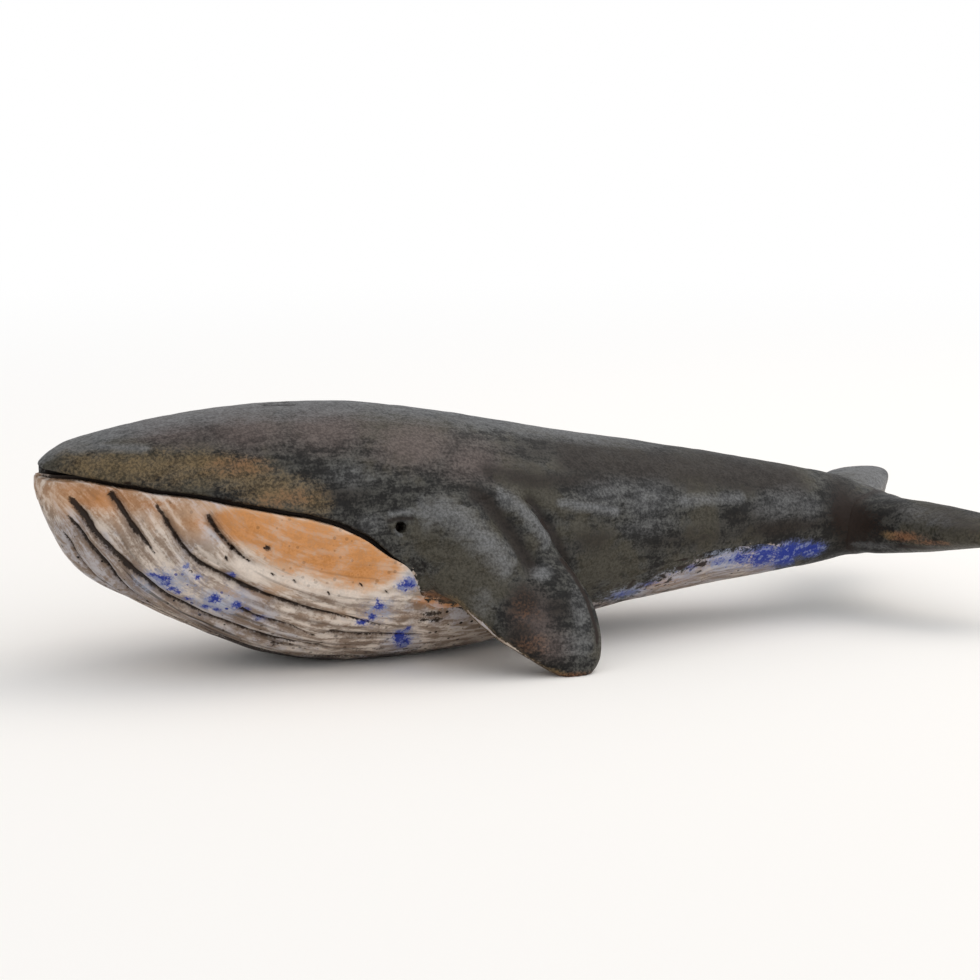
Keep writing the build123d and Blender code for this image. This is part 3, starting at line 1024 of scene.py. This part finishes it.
def oxide_colour(tree, glaze, fired):
    """Charcoal glaze, brushed and grainy, with olive, umber, ochre, rust and a blue grey bloom that is in
    places a painted highlight.
    """
    cloud, brush, mottle, grain = (fired[name] for name in ("Cloud", "Brush", "Mottle", "Grain"))
    uneven = blend_of(tree, (cloud, 0.3), (brush, 0.3), (mottle, 0.22), (grain, 0.18))
    fine = fine_mottle(tree, fired)
    strokes = blend_of(tree, (brush, 0.45), (mottle, 0.3), (grain, 0.25))
    base = mixed(tree, stretched(tree, uneven, 0.28, 0.74), glaze.charcoal, glaze.ash)
    base = mixed(tree, stretched(tree, cloud, 0.45, 0.95, 0.0, 0.6), base, glaze.olive)
    for name, mottling, breaking, soft, cover in (
            ("umber", strokes, 0.5, 0.5, 0.85), ("ochre", fine, 0.8, 0.65, 0.78),
            ("peat_and_shade", strokes, 0.7, 0.4, 0.9), ("haze_and_sheen", strokes, 0.6, 0.7, 0.85),
            ("rust", fine, 0.8, 0.6, 0.75)):
        base = mixed(tree, patch(tree, name, mottling, breaking, soft, cover), base, getattr(glaze, name))
    return mixed(tree, 1.0, base, stretched(tree, grain, 0.0, 1.0, 0.76, 1.22), "MULTIPLY")


def slip_colour(tree, glaze, fired, place):
    """Pale slip, thin in streaks along the pleats, toasted orange in places, with oxide rubbed in and
    painted shade washed over.
    """
    cloud, mottle, grain = (fired[name] for name in ("Cloud", "Mottle", "Grain"))
    fine = fine_mottle(tree, fired)
    along = put(tree, "ShaderNodeSeparateXYZ", {0: place}).outputs[0]
    streaks = stretched(tree, combed(tree, along, 130.0, 36.0, 5.0, 0.62), 0.36, 0.64)
    blotch = between(tree, paint_of(tree, "chin"), streaks, mottle)
    thin = stretched(tree, blend_of(tree, (blotch, 0.55), (mottle, 0.25), (grain, 0.2)), 0.22, 0.8)
    chalk = stretched(tree, paint_of(tree, "chalk"), 0.0, 1.0, 1.0, 0.12)
    pale = mixed(tree, stretched(tree, cloud, 0.35, 0.9, 0.0, 0.5), glaze.slip, glaze.milk)
    base = mixed(tree, maths(tree, "MULTIPLY", thin, chalk), pale, glaze.clay)
    clouded = blend_of(tree, (cloud, 0.4), (blotch, 0.6))
    base = mixed(tree, patch(tree, "blush", clouded, 0.7, 0.5, 0.85), base, glaze.blush)
    toast = patch(tree, "toast", blend_of(tree, (fine, 0.7), (blotch, 0.3)), 0.85, 0.5, 0.97)
    toast = maths(tree, "MULTIPLY", toast, stretched(tree, fine, 0.0, 0.9, 1.0, 0.78))
    base = mixed(tree, toast, base, glaze.toast)
    worn = blend_of(tree, (blotch, 0.42), (fine, 0.58))
    # Wash: rubbed oxide and painted shade
    base = mixed(tree, patch(tree, "wash_and_shade", worn, 0.9, 0.5, 0.7), base, glaze.wash_and_shade)
    scratch = stretched(tree, combed(tree, along, 34.0, 62.0, 3.0, 0.5), 0.55, 0.64, 0.0, 0.85)
    base = mixed(tree, maths(tree, "MULTIPLY", scratch, paint_of(tree, "scratch")), base, glaze.peat_and_shade)
    specks = maths(tree, "MULTIPLY", fired["Speck"], stretched(tree, paint_of(tree, "speck"), 0.1, 0.8))
    base = mixed(tree, specks, base, glaze.soot_and_shade)
    return mixed(tree, 1.0, base, stretched(tree, fine, 0.0, 1.0, 0.86, 1.1), "MULTIPLY")


def cobalt_over(tree, glaze, fired, fine, base):
    """Cobalt flecks with a stain under them, on pale blue and among fine specks."""
    base = mixed(tree, patch(tree, "milk", fine, 0.9, 0.45, 0.7), base, glaze.milk)
    blue = mixed(tree, stretched(tree, fired["Mottle"], 0.58, 0.92, 0.0, 0.5), glaze.cobalt, glaze.milk)
    base = mixed(tree, patch(tree, "cobalt", fine, 0.6, 0.6, 0.7), base, glaze.bleed)
    base = mixed(tree, patch(tree, "cobalt", fine, 0.75, 0.22, 0.95), base, blue)
    near = stretched(tree, paint_of(tree, "milk"), 0.2, 0.7, 0.0, 0.9)
    return mixed(tree, maths(tree, "MULTIPLY", fired["Speck"], near), base, glaze.cobalt)


def fired_material(name, glaze, scale):
    """Dark glaze and pale slip, each where the points say, with cobalt, cut lines and painted shade over
    both.
    """
    made = bpy.data.materials.get(name)
    if made:
        return made
    material, tree, shader = new_material(name)
    place = put(tree, "ShaderNodeTexCoord").outputs["Object"]
    fired = put(tree, "ShaderNodeGroup", {"Vector": place, "Scale": scale}, node_tree=fired_mottle()).outputs
    brush, mottle, grain = (fired[name] for name in ("Brush", "Mottle", "Grain"))
    fine = fine_mottle(tree, fired)
    ragged = blend_of(tree, (brush, 0.2), (mottle, 0.3), (grain, 0.2), (paint_of(tree, "slip"), 1.0))
    pale = stretched(tree, ragged, 0.78, 0.92)
    base = mixed(tree, pale, oxide_colour(tree, glaze, fired), slip_colour(tree, glaze, fired, place))
    base = cobalt_over(tree, glaze, fired, fine, base)
    pleat = blend_of(tree, (paint_of(tree, "pleat"), 1.0), (grain, 0.22), (mottle, 0.22))
    base = mixed(tree, stretched(tree, pleat, 0.68, 1.05, 0.0, 0.95), base, glaze.soot_and_shade)
    # Soot patch: oxide specks, and painted shade in the cuts, the creases between the pieces and under the
    # belly
    base = mixed(tree, patch(tree, "soot_and_shade", grain, 0.5, 0.25, 0.97), base, glaze.soot_and_shade)
    tree.links.new(base, shader.inputs["Base Color"])
    tree.links.new(stretched(tree, fine, 0, 1, 0.56, 0.38), shader.inputs["Roughness"])
    shader.inputs["Specular IOR Level"].default_value = 0.17
    bump = put(tree, "ShaderNodeBump", {"Height": fine, "Strength": 0.25, "Distance": 0.12 * MM})
    tree.links.new(bump.outputs["Normal"], shader.inputs["Normal"])
    return material


def oxide_glaze(glaze):
    """Satin charcoal glaze of the back and limbs."""
    return fired_material("charcoal glaze", glaze, 1.0)


def throat_slip(glaze):
    """Satin pale slip of the throat and belly."""
    return fired_material("pale slip", glaze, 1.1)


class WHALE_OT_back(bpy.types.Operator):
    """Shape and glaze the upper head, back and tail stock"""

    bl_idname = "whale.back"
    bl_label = "Back"

    def execute(self, context):
        clay, glaze = context.scene.whale_clay, context.scene.whale_glaze
        rows, columns = BACK_GRID
        piece = make_shell("back", clay, self.places(clay, rows), columns, lower=False)
        eye, blowhole = body.spot(*EYE), body.line(BLOWHOLE)
        left = left_side(read_points(piece)[0])
        close = np.linalg.norm(left - eye, axis=1) < 5.2
        close |= gap_to_line(left, blowhole, 4)[0] < 3
        refine(piece, close, 3)

        points, outward = read_points(piece)
        left = left_side(points)
        skin, slit = skin_and_slit(points)
        eye_width = in_mm(clay.eye_width)
        to_eye = np.linalg.norm(left - eye, axis=1)
        hole = 1 - ease(0.34 * eye_width, 0.48 * eye_width, to_eye)
        rim = 0.25 * bell(to_eye - 0.75 * eye_width, 0.9)
        brow = stroke(left, BROW, 0.9, 0.45) - stroke(left, BROW_CREASE, 0.6, 0.3)
        breath = 1 - ease(0.4, 1.1, gap_to_line(left, blowhole, 4)[0])
        chips = self.chipped_lip(points, left, clay)
        raised = self.snout_edge(left) + rim + brow + pinched(points, outward)
        sunk = in_mm(clay.eye_depth) * hole + 1.4 * breath + 0.6 * chips
        knead(piece, clay, off_the_seam(left) * skin)
        push_shell(piece, skin * (raised - sunk))
        swell_to_limbs(piece, clay)
        # Painted shade: soot laid near black in the pierced eye, the blowhole, the mouth's slit and the
        # lip's chips
        self.glaze_over(piece, left, [hole, breath, slit, 0.9 * chips])
        finish_piece(piece, oxide_glaze(glaze), "back_shell")
        return {"FINISHED"}

    def places(self, clay, rows):
        """Places along the back, from where its lip comes together at the nose."""
        crest = body.middle + body.radius[:, 0]
        above = crest - (seam_height(body.x) + in_mm(clay.mouth_gap) / 2)
        first = np.nonzero(above > 0)[0][0]
        tip = np.interp(0, above[first - 1:first + 1], body.x[first - 1:first + 1])
        return body.places(tip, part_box("back_shell")[1].x / MM, rows)

    def snout_edge(self, left):
        """The soft edge round the flat top of the snout."""
        gap, along = gap_to_line(left, body.line(SNOUT_EDGE), 12)
        return 0.35 * tapered(along, 0.1, 0.25) * bell(gap, 1.8)

    def chipped_lip(self, points, left, clay):
        """Small chips along the front of the upper lip."""
        x, _, z = left.T
        above_lip = z - seam_height(x) - in_mm(clay.mouth_gap) / 2
        return ease(0.15, 0.5, rough(points, 1.5)) * bell(above_lip, 1.1) * (1 - ease(-104, -84, x))

    def glaze_over(self, piece, left, cuts):
        """Where each glaze lies on the back."""
        x, _, z = left.T
        flipper = gap_to_solid(left, "left_flipper", 4)
        # Painted highlight: haze laid along the crest, paler where the light from above falls on it
        crest = (1 - ease(10, 34, np.degrees(body.angle_of(left)))) * (1 - ease(10, 60, x))
        # Painted shade: soot along the crease behind the flipper's root
        crease = 0.9 * bell(flipper, 1.0) * ease(-16, -10, x) * (1 - ease(40, 46, z))
        masks = {
            "soot_and_shade": [*cuts, crease],
            "slip": [below_brush_line(left) * (x > MOUTH_CORNER) * (1 - ease(72, 86, x))],
            "haze_and_sheen": [0.7 * crest],
        }
        paint_over(piece, left, BACK_DABS, BACK_STROKES, masks)


class WHALE_OT_belly(bpy.types.Operator):
    """Shape and glaze the lower jaw, throat and belly"""

    bl_idname = "whale.belly"
    bl_label = "Belly"

    def execute(self, context):
        clay, glaze = context.scene.whale_clay, context.scene.whale_glaze
        rows, columns = BELLY_GRID
        piece = make_shell("belly", clay, self.places(rows), columns, lower=True)
        points, _ = read_points(piece)
        left = left_side(points)
        x = left[:, 0]
        skin, slit = skin_and_slit(points)
        flow = throat_flow(left)
        chin = ease(140, 160, np.degrees(body.angle_of(left))) * (1 - ease(-132, -120, x))
        chin = np.maximum(chin, 1 - ease(-147, -143, x))
        ribs = rough(np.stack([x / 22, 60 * flow, 0 * flow], 1), 1) * (1 - chin)
        cut, line, pleat_shade, valley = self.pleats(points, left, in_mm(clay.pleat_half))
        wiped, pits = self.wiped_streaks(left), self.pinholes(left)
        throat = (1 - ease(-56, -40, x)) * off_the_seam(left)
        nose = 1 - ease(body.nose, body.nose + 10, x)
        raised = 0.35 * throat + 0.12 * ribs * throat
        sunk = 1.3 * valley + in_mm(clay.pleat_depth) * cut + 0.25 * wiped + 0.8 * pits + 0.8 * nose
        knead(piece, clay, off_the_seam(left) * skin)
        push_shell(piece, skin * (raised - sunk))
        swell_to_limbs(piece, clay)
        stand_on_floor(piece)
        for name, amount in (("pleat", line), ("flow", flow), ("chin", chin)):
            write_paint(piece, name, amount)
        # Painted shade: soot laid near black in the mouth's slit and the pinholes
        self.glaze_over(piece, left, [slit, pits], pleat_shade, wiped)
        finish_piece(piece, throat_slip(glaze), "belly_shell")
        return {"FINISHED"}

    def places(self, rows):
        """Places along the belly, from the nose to the seam's end, closer at the mouth's corner."""
        keel = body.middle - body.radius[:, body.columns // 2]
        inside = np.nonzero(seam_height(body.x) > keel)[0]
        corner = np.linspace(MOUTH_CORNER - 0.6, MOUTH_CORNER + 7.4, 20)
        return np.sort(np.concatenate([body.places(body.nose, body.x[inside[-1] + 1], rows), corner]))

    def pleats(self, points, left, width):
        """The throat pleats: their cuts, dark lines, the painted shade beside them and the valleys that they
        lie in.
        """
        uneven = width * (1 + 0.4 * rough(points, 6) + 0.3 * rough(points, 1.8))
        cut, line, pleat_shade, valley = np.zeros((4, len(points)))
        for share, stops in PLEATS:
            gap, along = gap_to_line(left, body.line(stops), 9)
            half = uneven * share * (1.15 - 0.5 * along)
            fade = ease(0, 0.06, along) * (1 - 0.6 * ease(0.6, 1, along))
            drawn = ease(0, 0.03, along) * (1 - 0.2 * ease(0.8, 1, along))
            cut = np.maximum(cut, fade * bell(gap, 0.75 * half))
            line = np.maximum(line, drawn * bell(gap, half))
            # Painted shade: a soft brown band beside each pleat, where the groove's sides are in shade
            pleat_shade = np.maximum(pleat_shade, fade * bell(gap, 0.7 + 1.4 * half))
            valley = np.maximum(valley, fade * bell(gap, 3.4))
        return cut, line, pleat_shade, valley

    def wiped_streaks(self, left):
        """Oxide wiped along the throat between the pleats."""
        wiped = np.zeros(len(left))
        for stops in STREAKS:
            gap, along = gap_to_line(left, body.line(stops), 4)
            wiped = np.maximum(wiped, tapered(along, 0.15, 0.15) * bell(gap, 1.1))
        return wiped

    def pinholes(self, left):
        """Round holes with soft edges."""
        x, _, z = left.T
        pits = np.zeros(len(left))
        for pit_x, pit_z, across in PINHOLES:
            apart = np.hypot(x - pit_x, z - pit_z)
            pits = np.maximum(pits, 1 - ease(0.3 * across, 0.6 * across, apart))
        return pits

    def glaze_over(self, piece, left, cuts, pleat_shade, wiped):
        """Where slip, fire, oxide, cobalt and painted shade show on the throat and belly."""
        x = left[:, 0]
        degrees = np.degrees(body.angle_of(left))
        flipper = gap_to_solid(left, "left_flipper", 4)
        # rubbed: the belly's contact with the table, worn and in painted shadow
        rubbed = dabs(left, RUBBED_AND_CONTACT_SHADE)
        under = ease(148, 168, degrees) * ease(-112, -92, x)
        low = ease(106, 134, degrees) * (1 - 0.4 * ease(-108, -90, x))
        front, rear = 1 - ease(-118, -96, x), ease(-48, -38, x)
        throat = ease(-138, -126, x) * (1 - ease(-52, -44, x))
        flaky = np.maximum(ease(4, 14, x) * (1 - ease(46, 58, x)), dabs(left, FLAKED))
        flakes = flaky * ease(0.12, 0.34, rough(left * (0.5, 1, 1), 1.5)) * ease(-0.2, 0.2, rough(left, 9))
        place, height, half = np.array(TOASTED_BAND).T
        band = side_gap(left, np.stack([place, height], 1), 16)[0] / np.interp(x, place, half)
        masks = {
            # Painted shade: soot and wash under the belly, where it stands on the table and in the crease at
            # the flipper; the wash is also painted shade beside the pleats and under the belly's curve at
            # the rear, and darker towards the bottom and the front of the throat
            "soot_and_shade": [*cuts, 0.8 * bell(flipper, 1.2), 0.85 * rubbed, 0.72 * under, 0.85 * flakes],
            "slip": [np.where(x < MOUTH_CORNER, 1, below_brush_line(left) * (1 - 0.8 * ease(70, 83, x)))],
            "wash_and_shade": [pleat_shade, 0.9 * wiped, rubbed, 0.9 * under, 0.6 * rear, 0.52 * low, 0.38 * front],
            "scratch": [np.maximum(0.9 * low, 0.35 * ease(90, 106, degrees)) * throat],
            "speck": [0.9 * rear, 0.8 * low, 0.35 * ease(-136, -120, x)],
            "blush": [0.85 - 0.85 * ease(0.8, 1.6, band)],
            "toast": [0.72 - 0.72 * ease(0.6, 1.15, band)],
        }
        paint_over(piece, left, BELLY_DABS, BELLY_STROKES, masks)


def limb_from(node, name, root_way):
    """A limb shaped from its solid: its root pushed on into the body, then worked as one lump of clay."""
    start_alone()
    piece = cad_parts[node].copy()
    piece.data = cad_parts[node].data.copy()
    piece.name = name
    piece.parent = None
    for key in list(piece.keys()):
        del piece[key]
    bpy.context.collection.objects.link(piece)
    piece.select_set(True)
    bpy.context.view_layer.objects.active = piece
    bpy.ops.object.mode_set(mode="EDIT")
    bpy.ops.mesh.select_all(action="SELECT")
    bpy.ops.mesh.remove_doubles(threshold=1e-5)
    bpy.ops.mesh.select_all(action="DESELECT")
    bpy.ops.object.mode_set(mode="OBJECT")
    points, _ = read_points(piece)
    touching = body.distance(points) < 0.5
    for face in piece.data.polygons:
        face.select = bool(touching[list(face.vertices)].all())
    bpy.ops.object.mode_set(mode="EDIT")
    bpy.ops.mesh.select_mode(type="FACE")
    bpy.ops.mesh.extrude_region_move(TRANSFORM_OT_translate={"value": [v * MM for v in root_way]})
    bpy.ops.object.mode_set(mode="OBJECT")
    lump = piece.modifiers.new("lump", "REMESH")
    lump.mode = "VOXEL"
    lump.voxel_size = LIMB_GRAIN * MM
    bpy.ops.object.modifier_apply(modifier="lump")
    worked = piece.modifiers.new("worked", "SMOOTH")
    worked.iterations = 8
    bpy.ops.object.modifier_apply(modifier="worked")
    return piece


class WHALE_OT_flippers(bpy.types.Operator):
    """Shape and glaze the two flippers"""

    bl_idname = "whale.flippers"
    bl_label = "Flippers"

    def execute(self, context):
        clay, glaze = context.scene.whale_clay, context.scene.whale_glaze
        for side, inward in (("left", 5), ("right", -5)):
            node = f"{side}_flipper"
            piece = limb_from(node, f"flipper_{side}", (0, inward, -1))
            points, outward = read_points(piece)
            left = left_side(points)
            gap = body.distance(points)
            knead(piece, clay)
            push(piece, pinched(points, outward) + blend_out(gap, soft_root(left, clay)))
            stand_on_floor(piece)
            outer = ease(0.1, 0.4, outward[:, 1] * np.sign(points[:, 1]))
            self.glaze_over(piece, left, gap, outer)
            finish_piece(piece, oxide_glaze(glaze), node)
        return {"FINISHED"}

    def glaze_over(self, piece, left, gap, outer):
        """Where each glaze lies on a flipper."""
        x, _, z = left.T
        # Painted shade: soot in the crease at the flipper's root, and a painted shadow line along its
        # trailing edge
        crease = 0.9 * bell(gap, 1.2) * ease(-18, -10, x) * (1 - ease(40, 46, z))
        masks = {
            "soot_and_shade": [crease, outer * stroke(left, *FLIPPER_EDGE_SHADOW)],
            "slip": [outer * stroke(left, *FLIPPER_SLIP)],
        }
        paint_over(piece, left, FLIPPER_DABS, FLIPPER_STROKES, masks)


class WHALE_OT_flukes(bpy.types.Operator):
    """Shape and glaze the two tail flukes"""

    bl_idname = "whale.flukes"
    bl_label = "Flukes"

    def execute(self, context):
        clay, glaze = context.scene.whale_clay, context.scene.whale_glaze
        for side in ("left", "right"):
            node = f"{side}_fluke"
            piece = limb_from(node, f"fluke_{side}", (-4, 0, 0))
            points, _ = read_points(piece)
            gap = body.distance(points)
            knead(piece, clay)
            push(piece, blend_out(gap, in_mm(clay.tail_blend)) * ease(-1, 1, gap))
            self.glaze_over(piece, points, bell(gap, 2.5))
            finish_piece(piece, oxide_glaze(glaze), node)
        return {"FINISHED"}

    def glaze_over(self, piece, points, root):
        """Where each glaze lies on a fluke."""
        y = points[:, 1]
        masks = {
            # Painted shade: soot and peat darken the crease at the fluke's root, over brown glaze
            "soot_and_shade": [0.8 * root],
            "peat_and_shade": [0.95 * root, dabs(points, LEFT_FLUKE_PEAT) * (y < 0)],
            "haze_and_sheen": [dabs(points, RIGHT_FLUKE_HAZE) * (y > 0)],
        }
        paint_over(piece, points, FLUKE_DABS, {}, masks)


class WHALE_OT_stage(bpy.types.Operator):
    """Set the floor, the light and the camera"""

    bl_idname = "whale.stage"
    bl_label = "Stage"

    def execute(self, context):
        stage = context.scene.whale_stage
        self.lay_floor(stage)
        self.light(context, stage)
        self.aim_camera(context, stage)
        context.scene.view_settings.view_transform = "Standard"
        return {"FINISHED"}

    def lay_floor(self, stage):
        """A sheet of pale paper, seen as plain white far from the whale."""
        start_alone()
        bpy.ops.mesh.primitive_plane_add(size=stage.floor_size)
        floor = bpy.context.object
        floor.name = "floor"
        paper, tree, shader = new_material("paper")
        shader.inputs["Base Color"].default_value = stage.floor
        shader.inputs["Roughness"].default_value = 0.9
        place = put(tree, "ShaderNodeTexCoord").outputs["Object"]
        away = put(tree, "ShaderNodeVectorMath", {0: place}, operation="LENGTH").outputs["Value"]
        far = stretched(tree, away, stage.white_from, stage.white_to)
        path = put(tree, "ShaderNodeLightPath").outputs
        seen = maths(tree, "MAXIMUM", path["Is Camera Ray"], maths(
            tree, "MAXIMUM", path["Is Glossy Ray"], path["Is Transmission Ray"]))
        white = put(tree, "ShaderNodeEmission", {"Color": (1, 1, 1, 1), "Strength": 1.0}).outputs[0]
        sheet = put(tree, "ShaderNodeMixShader", {
            0: maths(tree, "MULTIPLY", far, seen), 1: shader.outputs[0], 2: white}).outputs[0]
        tree.links.new(sheet, tree.nodes["Material Output"].inputs["Surface"])
        floor.data.materials.append(paper)

    def light(self, context, stage):
        """An even white room with a window to one side, and one broad softbox overhead."""
        world = bpy.data.worlds.new("room")
        world.use_nodes = True
        tree = world.node_tree
        background = tree.nodes["Background"]
        path = put(tree, "ShaderNodeLightPath").outputs
        seen = maths(tree, "MAXIMUM", path["Is Camera Ray"], path["Is Transmission Ray"])
        way = put(tree, "ShaderNodeTexCoord").outputs["Generated"]
        height = put(tree, "ShaderNodeSeparateXYZ", {0: way}).outputs[2]
        window = put(tree, "ShaderNodeVectorMath", {
            0: way, 1: stage.window_way}, operation="DOT_PRODUCT").outputs["Value"]
        room = stretched(tree, height, 0, 1, stage.sky_side, stage.sky_top)
        glow = maths(tree, "ADD", room, stretched(tree, window, 0.1, 1, 0, stage.window_light))
        tree.links.new(mixed(tree, seen, stage.sky_colour, (1, 1, 1, 1)), background.inputs["Color"])
        tree.links.new(between(tree, seen, glow, 1.0), background.inputs["Strength"])
        context.scene.world = world
        start_alone()
        bpy.ops.object.light_add(type="AREA", location=stage.key_place)
        key = bpy.context.object
        key.name = "softbox"
        key.data.energy = stage.key_power
        key.data.color = stage.key_colour[:3]
        key.data.size = stage.key_size
        key.rotation_euler = (-Vector(stage.key_place)).to_track_quat("-Z", "Y").to_euler()

    def aim_camera(self, context, stage):
        """The photograph's view."""
        flat = math.cos(stage.elevation)
        away = Vector((
            math.sin(stage.azimuth) * flat, -math.cos(stage.azimuth) * flat, math.sin(stage.elevation)))
        bpy.ops.object.camera_add(location=Vector(stage.target) + away * stage.distance)
        camera = bpy.context.object
        camera.rotation_euler = (-away).to_track_quat("-Z", "Y").to_euler()
        camera.data.lens = stage.lens
        camera.data.sensor_width = SENSOR
        context.scene.camera = camera


class WHALE_PT_panel(bpy.types.Panel):
    """The whale's pieces and stage"""

    bl_idname = "WHALE_PT_panel"
    bl_label = "Ceramic Whale"
    bl_space_type = "VIEW_3D"
    bl_region_type = "UI"
    bl_category = "Whale"

    def draw(self, context):
        for operator in OPERATORS:
            self.layout.operator(operator.bl_idname)
        for group in (context.scene.whale_clay, context.scene.whale_glaze, context.scene.whale_stage):
            for name in group.__annotations__:
                self.layout.prop(group, name)


OPERATORS = (WHALE_OT_back, WHALE_OT_belly, WHALE_OT_flippers, WHALE_OT_flukes, WHALE_OT_stage)
CLASSES = (WhaleClay, WhaleGlaze, WhaleStage, *OPERATORS, WHALE_PT_panel)


def register():
    for made in CLASSES:
        bpy.utils.register_class(made)
    bpy.types.Scene.whale_clay = bpy.props.PointerProperty(type=WhaleClay)
    bpy.types.Scene.whale_glaze = bpy.props.PointerProperty(type=WhaleGlaze)
    bpy.types.Scene.whale_stage = bpy.props.PointerProperty(type=WhaleStage)


def unregister():
    del bpy.types.Scene.whale_stage
    del bpy.types.Scene.whale_glaze
    del bpy.types.Scene.whale_clay
    for made in reversed(CLASSES):
        bpy.utils.unregister_class(made)


def main():
    register()
    bpy.ops.whale.back()
    bpy.ops.whale.belly()
    bpy.ops.whale.flippers()
    bpy.ops.whale.flukes()
    bpy.ops.whale.stage()


if __name__ == "__main__":
    main()
